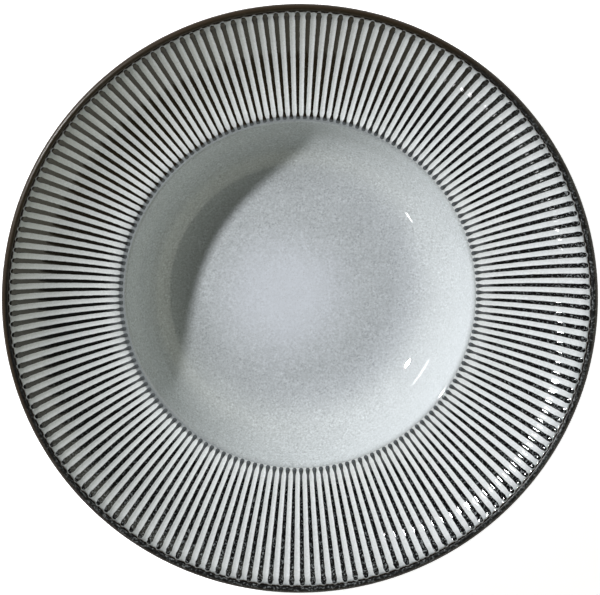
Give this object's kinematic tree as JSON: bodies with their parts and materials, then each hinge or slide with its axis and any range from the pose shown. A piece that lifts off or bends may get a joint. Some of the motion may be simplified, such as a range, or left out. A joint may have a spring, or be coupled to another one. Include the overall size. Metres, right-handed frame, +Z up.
{
  "type": "pasta plate",
  "caption": "Round stoneware pasta plate with a deep smooth well, a broad rising rim of raised radial ribs, a thin rounded lip and a foot ring underneath.",
  "frame": {"origin": "on the table, under the centre of the plate, at the level of the foot ring's standing face", "axes": "+Z up along the plate's axis; +X and +Y are alike, with a rib centred on +X"},
  "size_m": [0.28, 0.28, 0.0538],
  "materials": {
    "dark_stoneware": "dark iron-rich stoneware, shiny where a film of glaze covers it, bare and matt on the foot ring",
    "pale_glaze": "glossy pale blue-grey glaze with fine dark specks, breaking to near black at thin edges",
    "back_glaze": "glossy pale blue-grey glaze with fine dark specks"
  },
  "bodies": {
    "root": {"stoneware_body": "dark_stoneware", "well_glaze": "pale_glaze", "rim_glaze": "pale_glaze", "back_glaze": "back_glaze", "foot_recess_glaze": "back_glaze"}
  },
  "joints": []
}
